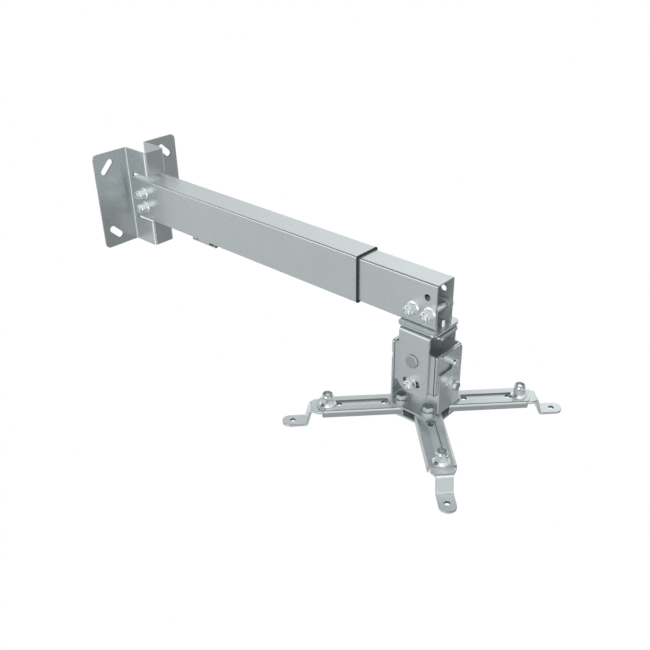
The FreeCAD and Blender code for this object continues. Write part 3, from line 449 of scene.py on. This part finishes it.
def thread(shape, radius, seat, out, start, end, pitch=PITCH):
    """The rolled thread at a bolt's end: ridges that climb round the shank, and a chamfered tip."""
    rows_a_turn = 6
    rows = max(int((end - start) / pitch * rows_a_turn), rows_a_turn)
    depth = 0.55 * pitch
    tip = 0.0008
    begun = bmesh.ops.create_circle(shape, segments=THREAD_SIDES, radius=1.0)
    loop = begun["verts"]
    made = list(loop)
    edges = list(dict.fromkeys(e for v in loop for e in v.link_edges))
    for row in range(rows + 1):
        height = start + (end - start) * row / rows
        if row:
            grown = bmesh.ops.extrude_edge_only(shape, edges=edges)["geom"]
            loop = [g for g in grown if isinstance(g, bmesh.types.BMVert)]
            edges = [g for g in grown if isinstance(g, bmesh.types.BMEdge)]
            made += loop
        for v in loop:
            angle = math.atan2(v.co.y, v.co.x)
            phase = (height / pitch - angle / math.tau) % 1.0
            reach = radius - depth * min(abs(phase - 0.5) * 2.0, 0.85)
            reach = min(reach, radius - tip + (end - height))
            v.co = (reach * math.cos(angle), reach * math.sin(angle), height)
    lids = dict.fromkeys(e for v in made for e in v.link_edges if e.is_boundary)
    bmesh.ops.holes_fill(shape, edges=list(lids))
    turned = Vector((0, 0, 1)).rotation_difference(Vector(out)).to_matrix().to_4x4()
    bmesh.ops.transform(shape, matrix=Matrix.Translation(seat) @ turned, verts=made)
    bmesh.ops.recalc_face_normals(shape, faces=shape.faces)


def hex_head(shape, seat, out, flats, height, washer=0.0):
    """A bolt's head: a thin washer face, six sides, and a turned-down top with a shallow dish."""
    rings = [("round", flats * 0.46, 0.0)]
    if washer:
        rings += [
            ("round", washer / 2 - 0.0001, 0.0), ("round", washer / 2, 0.0003),
            ("round", washer / 2, 0.0008), ("hex", flats, 0.0014),
        ]
    else:
        rings += [("round", flats * 0.46, 0.0003), ("hex", flats, 0.00035)]
    rings += [
        ("top", flats, height), ("round", flats * 0.470, height),
        ("round", flats * 0.36, height), ("round", flats * 0.33, height - 0.0003),
    ]
    stacked(shape, rings, seat, out)


def shank(shape, seat, out, radius, start, end):
    """The plain part of a bolt, from one height to another along its axis."""
    stacked(shape, [("round", radius, start), ("round", radius, end)], seat, out)


def nylon_ring(shape, seat, out, height, bore=M6):
    """The soft ring in a lock nut's end, domed where the nut's lip is rolled over it."""
    rings = [
        ("round", bore - 0.0002, height - 0.0013), ("round", bore + 0.0013, height - 0.0013),
        ("round", bore + 0.0013, height - 0.0006), ("round", bore + 0.0010, height - 0.00035),
        ("round", bore + 0.0004, height - 0.00035), ("round", bore + 0.0001, height - 0.0006),
        ("round", bore - 0.0002, height - 0.0013),
    ]
    stacked(shape, rings, seat, out, closed=True)


nut_zinc = zinc("nut_zinc", (0.93, 0.965, 0.965), 0.20, (1.0, 1.0, 1.0), cloud=160.0, metallic=0.72)


def soft_nylon(name, low, high):
    """Nylon, faintly see-through, mottled between two tones."""
    material = bpy.data.materials.new(name)
    material.use_nodes = True
    nodes = material.node_tree
    shader = nodes.nodes["Principled BSDF"]
    coords = nodes.nodes.new("ShaderNodeTexCoord")
    speck = nodes.nodes.new("ShaderNodeTexNoise")
    speck.inputs["Scale"].default_value = 900.0
    nodes.links.new(coords.outputs["Object"], speck.inputs["Vector"])
    tone = nodes.nodes.new("ShaderNodeMix")
    tone.data_type = "RGBA"
    nodes.links.new(speck.outputs["Fac"], tone.inputs["Factor"])
    tone.inputs["A"].default_value = (*low, 1.0)
    tone.inputs["B"].default_value = (*high, 1.0)
    nodes.links.new(tone.outputs["Result"], shader.inputs["Base Color"])
    shader.inputs["Roughness"].default_value = 0.35
    shader.inputs["Subsurface Weight"].default_value = 0.25
    shader.inputs["Subsurface Radius"].default_value = (0.0004, 0.0009, 0.0009)
    return material


pale_nylon = soft_nylon("pale_nylon", (0.50, 0.56, 0.56), (0.62, 0.67, 0.66))
LEFT = Vector((-1.0, 0.0, 0.0))
RIGHT = Vector((1.0, 0.0, 0.0))


def cross_bolts(bolt_name, nut_name, ring_name, body, seats, span, nut_height, flange, rise, collar):
    """M6 bolts put through from the right, each with a flanged lock nut on its seat on the left."""
    bolts = bmesh.new()
    nuts = bmesh.new()
    rings = bmesh.new()
    for seat in seats:
        nut(nuts, seat, LEFT, M6_FLATS, nut_height, flange, rise, collar=collar)
        nylon_ring(rings, seat, LEFT, nut_height)
        thread(bolts, M6_THREAD, seat, LEFT, 0.0, nut_height - RING_SINK)
        shank(bolts, seat, RIGHT, M6_SHANK, 0.0, span)
        hex_head(bolts, seat + RIGHT * span, RIGHT, M6_FLATS, HEAD_HEIGHT, washer=WASHER_FACE)
    finish_piece(bolt_name + "_plated", bolts, nut_zinc, body, (bolt_name,))
    finish_piece(nut_name + "_plated", nuts, nut_zinc, body, (nut_name,))
    finish_piece(ring_name, rings, pale_nylon, body)


tube_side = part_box("outer_tube")[1].x
nuts_low, nuts_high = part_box("bracket_nuts")
bolts_y = (nuts_low.y + nuts_high.y) / 2
bolts_z = nuts_high.z - NUT_FLANGE / 2
cross_bolts(
    "bracket_bolts", "bracket_nuts", "bracket_nut_rings", "wall",
    [Vector((-tube_side, bolts_y, height)) for height in (-bolts_z, bolts_z)],
    2 * tube_side, nuts_high.x - nuts_low.x, NUT_FLANGE, FLANGE_RISE, TALL_COLLAR,
)


# Inner tube: a smaller drawn tube that slides inside the first. Its mouth is drilled across
# for two bolts, with a spare hole above them, and its floor is cut away for the end bracket.
pressed_part("inner_tube", tube_zinc, edge_shade_zinc, "extension", 0.0015, lining=inside_shade_zinc)


# Length lock: a short channel under the outer tube, with two bolts up through the tube's slot
# into a threaded plate that lies on the inner tube's floor.
pressed_part("lock_clamp", sheet_zinc, edge_shade_zinc, "extension", 0.0015)
pressed_part("lock_nut_plate", sheet_zinc, sheet_zinc, "extension", 0.0)
bolt_zinc = zinc("bolt_zinc", (0.80, 0.84, 0.84), 0.19, (1.0, 1.0, 1.0), cloud=160.0, metallic=0.96)
UP = Vector((0.0, 0.0, 1.0))
DOWN = Vector((0.0, 0.0, -1.0))
lock_bolt_reach = 0.0132
clamp_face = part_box("lock_clamp")[0].z
bolts_low, bolts_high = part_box("lock_bolts")
bolts = bmesh.new()
for along in (bolts_high.y - M6_FLATS / 2, bolts_low.y + M6_FLATS / 2):
    seat = Vector((0.0, along, clamp_face))
    hex_head(bolts, seat, DOWN, M6_FLATS, HEAD_HEIGHT, washer=WASHER_FACE)
    thread(bolts, M6_THREAD, seat, UP, 0.0, lock_bolt_reach)
finish_piece("lock_bolts_plated", bolts, bolt_zinc, "extension", ("lock_bolts",))


# End bracket: a 2.5 mm swivel plate under the tube's mouth with two ears folded up inside it,
# held by two M6 bolts across the tube with tall flanged lock nuts on the left.
pressed_part(
    "end_bracket", sheet_zinc, edge_shade_zinc, "extension", 0.0025, edge=0.00025,
    lining=inside_shade_zinc,
)
end_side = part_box("inner_tube")[1].x
nuts_low, nuts_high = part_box("end_nuts")
bolts_z = (nuts_low.z + nuts_high.z) / 2
bolts_y = (nuts_high.y - NUT_FLANGE / 2, nuts_low.y + NUT_FLANGE / 2)
cross_bolts(
    "end_bolts", "end_nuts", "end_nut_rings", "extension",
    [Vector((-end_side, along, bolts_z)) for along in bolts_y],
    2 * end_side, nuts_high.x - nuts_low.x, NUT_FLANGE, FLANGE_RISE, TALL_COLLAR,
)


# Swivel joint: an M8 pivot through the swivel plate and the yoke's web with a steel washer
# between them, and an M5 stud that locks the turn in the web's curved slot.
M8 = 0.004
M8_THREAD = M8 - 0.00002
M8_FLATS = 0.013
M8_PITCH = 0.00125
M5 = 0.0025
M5_THREAD = M5 - 0.00002
M5_FLATS = 0.008
M5_PITCH = 0.0008
THIN_NUT = 0.005
yoke_sheet = 0.0020
swivel_lock_reach = 0.016
pivot_hole = 0.0042
washer_low, washer_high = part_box("swivel_washer")
head_y = (washer_low.y + washer_high.y) / 2
washer_rim = 0.0120
washer = bmesh.new()
stacked(washer, [
    ("round", pivot_hole, washer_low.z), ("round", washer_rim - 0.0002, washer_low.z),
    ("round", washer_rim, washer_low.z + 0.0002), ("round", washer_rim, washer_high.z - 0.0002),
    ("round", washer_rim - 0.0002, washer_high.z), ("round", pivot_hole, washer_high.z),
    ("round", pivot_hole, washer_low.z),
], Vector((0.0, head_y, 0.0)), UP, closed=True)
finish_piece("swivel_washer_plated", washer, bolt_zinc, "swivel", ("swivel_washer",))
pivot = bmesh.new()
under_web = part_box("yoke")[1].z - yoke_sheet
seat = Vector((0.0, head_y, under_web))
stacked(pivot, [
    ("round", 0.0080, 0.0), ("round", 0.0080, 0.0016), ("round", 0.0074, 0.0024),
    ("round", 0.0056, 0.0029), ("round", 0.0030, 0.0030),
], seat, DOWN)
nut_low, nut_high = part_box("swivel_pivot_nut")
thread(pivot, M8_THREAD, seat, UP, 0.0, nut_high.z + PITCH - under_web, pitch=M8_PITCH)
finish_piece(
    "swivel_pivot_plated", pivot, bolt_zinc, "swivel", ("swivel_pivot_bolt",),
)
nuts = bmesh.new()
nut(nuts, Vector((0.0, head_y, nut_low.z)), UP, M8_FLATS, nut_high.z - nut_low.z, bore=M8)
finish_piece("swivel_nut_plated", nuts, bolt_zinc, "swivel", ("swivel_pivot_nut",))
stud = bmesh.new()
stud_low, stud_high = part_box("swivel_lock_stud")
half_stud = (stud_high.z - stud_low.z) / 2
seat = Vector((0.0, head_y - swivel_lock_reach, stud_low.z + half_stud))
for out in (UP, DOWN):
    thread(stud, M5_THREAD, seat, out, 0.0, half_stud, pitch=M5_PITCH)
finish_piece(
    "swivel_stud_plated", stud, bolt_zinc, "extension", ("swivel_lock_stud",),
)
nuts = bmesh.new()
seat = Vector((0.0, head_y - swivel_lock_reach, under_web))
nut(nuts, seat, DOWN, M5_FLATS, THIN_NUT, bore=M5)
finish_piece("swivel_lock_plated", nuts, bolt_zinc, "extension", ("swivel_lock_nut",))


# Yoke: 2 mm sheet folded down at both sides, with a tongue at the front for the swivel's lock
# and a curved slot on each side for the tilt's lock.
pressed_part("yoke", sheet_zinc, edge_shade_zinc, "swivel", yoke_sheet, lining=inside_shade_zinc)


# Tilt axis: two large rivets with flat, rolled-over heads, each through the yoke's side and the
# box's. The head closed inside the box takes the inside zinc, painted shade.
rivets_low, rivets_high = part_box("tilt_rivets")
tilt_y = (rivets_low.y + rivets_high.y) / 2
tilt_z = (rivets_low.z + rivets_high.z) / 2
yoke_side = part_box("yoke")[1].x
rivet_radius = 0.0040
box_inside = 0.0178
closed_head = box_inside + 0.0007
rivets = bmesh.new()
for out in (LEFT, RIGHT):
    seat = Vector((0.0, tilt_y, tilt_z))
    stacked(rivets, [
        ("round", 0.0064, yoke_side), ("round", 0.0070, yoke_side + 0.0003),
        ("round", 0.0070, yoke_side + 0.0011), ("round", 0.0067, yoke_side + 0.0016),
        ("round", 0.0060, yoke_side + 0.0019), ("round", 0.0052, yoke_side + 0.0020),
        ("round", 0.0026, yoke_side + 0.0020), ("round", 0.0020, yoke_side + 0.0017),
    ], seat, out)
    shank(rivets, seat, out, rivet_radius, box_inside, yoke_side)
    stacked(rivets, [
        ("round", 0.0052, box_inside - 0.0015), ("round", 0.0060, box_inside - 0.0011),
        ("round", 0.0060, box_inside),
    ], seat, out)
rivet_zinc = zinc("rivet_zinc", (0.47, 0.51, 0.52), 0.30, (1.0, 1.0, 1.0), cloud=160.0)
# Faces within the box take the inside zinc: painted shade.
for face in rivets.faces:
    if abs(face.calc_center_median().x) < closed_head:
        face.material_index = 1
heads = finish_piece(
    "tilt_rivets_plated", rivets, rivet_zinc, "swivel", ("tilt_rivets",),
)
heads.data.materials.append(inside_shade_zinc)


# Tilt box: a cross-shaped blank of 2 mm sheet folded up into a box, open above and at its
# four upright corners.
pressed_part("tilt_box", sheet_zinc, edge_shade_zinc, "tilt", 0.0020, lining=inside_shade_zinc)


# Tilt lock: one long M6 bolt across the box and through the yoke's curved slots, with a lock
# nut on the left.
lock_reach = 0.025
tilt_nut_flange = 0.0118
tilt_flange_rise = 0.0014
nut_low, nut_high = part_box("tilt_lock_nut")
cross_bolts(
    "tilt_lock_bolt", "tilt_lock_nut", "tilt_lock_nut_ring", "tilt",
    [Vector((-yoke_side, tilt_y, tilt_z - lock_reach))],
    2 * yoke_side, nut_high.x - nut_low.x, tilt_nut_flange, tilt_flange_rise, LOW_COLLAR,
)


# Roll axis and lock: at the front and the rear a shouldered stud for the hook slot, and below
# it a bolt with a flanged lock nut in the curved slot.
green_nylon = soft_nylon("green_nylon", (0.24, 0.34, 0.325), (0.31, 0.42, 0.40))
FRONT = Vector((0.0, -1.0, 0.0))
REAR = Vector((0.0, 1.0, 0.0))
studs_low, studs_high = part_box("roll_pivots")
box_low, box_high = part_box("tilt_box")
uprights_low, uprights_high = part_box("base_bracket")
roll_z = (studs_low.z + studs_high.z) / 2
box_sheet = 0.0020
box_end = (box_high.y - box_low.y) / 2
upright_face = (uprights_high.y - uprights_low.y) / 2
roll_nut_height = 0.0098
stud_reach = 0.0105
pins = bmesh.new()
bolts = bmesh.new()
nuts = bmesh.new()
rings = bmesh.new()
for out in (FRONT, REAR):
    axis = Vector((0.0, head_y, roll_z))
    seat = axis + out * upright_face
    stacked(pins, [
        ("round", 0.0030, 0.0), ("round", 0.0034, 0.0), ("round", 0.0036, 0.0003),
        ("round", 0.0036, 0.0066), ("round", 0.0033, 0.0072), ("round", 0.0028, 0.0075),
        ("round", 0.0016, 0.0075), ("round", 0.0012, 0.0071),
    ], seat, out)
    shank(pins, seat, -out, M6_SHANK, 0.0, stud_reach)
    nut(nuts, axis + out * (box_end - box_sheet), -out, M6_FLATS, THIN_NUT)
    axis += DOWN * lock_reach
    seat = axis + out * upright_face
    nut(nuts, seat, out, M6_FLATS, roll_nut_height, NUT_FLANGE, FLANGE_RISE, collar=LOW_COLLAR)
    nylon_ring(rings, seat, out, roll_nut_height)
    thread(bolts, M6_THREAD, seat, out, 0.0, roll_nut_height - RING_SINK)
    shank(bolts, seat, -out, M6_SHANK, 0.0, 2 * box_sheet)
    hex_head(bolts, axis + out * (box_end - box_sheet), -out, M6_FLATS, HEAD_HEIGHT)
finish_piece("roll_pivots_plated", pins, bolt_zinc, "tilt", ("roll_pivots",))
finish_piece("roll_bolts_plated", bolts, bolt_zinc, "tilt", ("roll_lock_bolts",))
finish_piece("roll_nuts_plated", nuts, bolt_zinc, "tilt", ("roll_nuts",))
finish_piece("roll_nut_rings", rings, green_nylon, "tilt")


# Base bracket: a square plate folded up at the front and the rear into two uprights. Each has
# a hook slot that drops over the box's stud, and a curved slot under it. A second plate lies
# below the arms.
pressed_part("base_bracket", sheet_zinc, edge_shade_zinc, "base", 0.0020)
pressed_part("bottom_plate", sheet_zinc, edge_shade_zinc, "base", 0.0025)


# Arm pivots: four M6 bolts with tall heads and washer faces, down through both plates and the
# arms, with nuts below. The upward faces carry a darker zinc: painted shade on the heads' tops.
base_sheet = 0.0020
base_top = uprights_low.z + base_sheet
bottom_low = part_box("bottom_plate")[0].z
bolt_offset = 0.016
base_nut_height = 0.0070
base_head_height = 0.0064
base_washer_face = 0.0130
bolts = bmesh.new()
nuts = bmesh.new()
for x in (-bolt_offset, bolt_offset):
    for y in (head_y - bolt_offset, head_y + bolt_offset):
        seat = Vector((x, y, base_top))
        hex_head(bolts, seat, UP, M6_FLATS, base_head_height, washer=base_washer_face)
        shank(bolts, seat, DOWN, M6_SHANK, 0.0, base_top - bottom_low)
        low = Vector((x, y, bottom_low))
        thread(bolts, M6_THREAD, low, DOWN, 0.0, base_nut_height + PITCH)
        nut(nuts, low, DOWN, M6_FLATS, base_nut_height)
# The darker zinc for the tops is painted shade; faces turned upwards take it.
top_shade_zinc = zinc("top_shade_zinc", (0.42, 0.46, 0.46), 0.34, (1.0, 1.0, 1.0), cloud=160.0)
for face in bolts.faces:
    if face.normal.z > 0.5:
        face.material_index = 1
heads = finish_piece("base_bolts_plated", bolts, bolt_zinc, "base", ("base_bolts",))
heads.data.materials.append(top_shade_zinc)
finish_piece("base_nuts_plated", nuts, bolt_zinc, "base", ("base_nuts",))


# Arms and feet: four slotted channels of 1.5 mm sheet, each with a stepped strap inside it.
# A carriage bolt comes up through strap and slot to a tall flanged lock nut.
arm_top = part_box("arm_1")[1].z
strap_sheet = 0.0025
strap_drop = 0.0015
foot_reach = 0.0735
foot_nut_flats = 0.0115
foot_nut_height = 0.0122
foot_nut_flange = 0.0168
foot_flange_rise = 0.0026
strap_zinc = zinc("strap_zinc", (0.82, 0.865, 0.875), 0.36, (1.0, 1.0, 0.25))
for i in range(4):
    number = f"_{i + 1}"
    body = "foot" + number
    pressed_part("arm" + number, sheet_zinc, edge_shade_zinc, "arm" + number, 0.0015)
    pressed_part("foot_strap" + number, strap_zinc, edge_shade_zinc, body, strap_sheet)
    angle = math.radians(45 + 90 * i)
    seat = Vector((
        math.copysign(bolt_offset, math.cos(angle)) + foot_reach * math.cos(angle),
        math.copysign(bolt_offset, math.sin(angle)) + head_y + foot_reach * math.sin(angle),
        arm_top,
    ))
    head = seat + DOWN * (strap_drop + strap_sheet)
    bolt = bmesh.new()
    stacked(bolt, [
        ("round", 0.0068, 0.0), ("round", 0.0067, 0.0006), ("round", 0.0058, 0.0018),
        ("round", 0.0040, 0.0026), ("round", 0.0020, 0.0030),
    ], head, DOWN)
    shank(bolt, head, UP, M6_SHANK, 0.0, strap_drop + strap_sheet)
    thread(bolt, M6_THREAD, seat, UP, 0.0, foot_nut_height - RING_SINK)
    finish_piece(
        "foot_bolt_plated" + number, bolt, bolt_zinc, body, ("foot_bolt" + number,),
    )
    nuts = bmesh.new()
    nut(
        nuts, seat, UP, foot_nut_flats, foot_nut_height, foot_nut_flange, foot_flange_rise,
        collar=TALL_COLLAR,
    )
    finish_piece(
        "foot_nut_plated" + number, nuts, bolt_zinc, body, ("foot_nut" + number,),
    )
    ring = bmesh.new()
    nylon_ring(ring, seat, UP, foot_nut_height)
    finish_piece("foot_nut_ring" + number, ring, green_nylon, body)
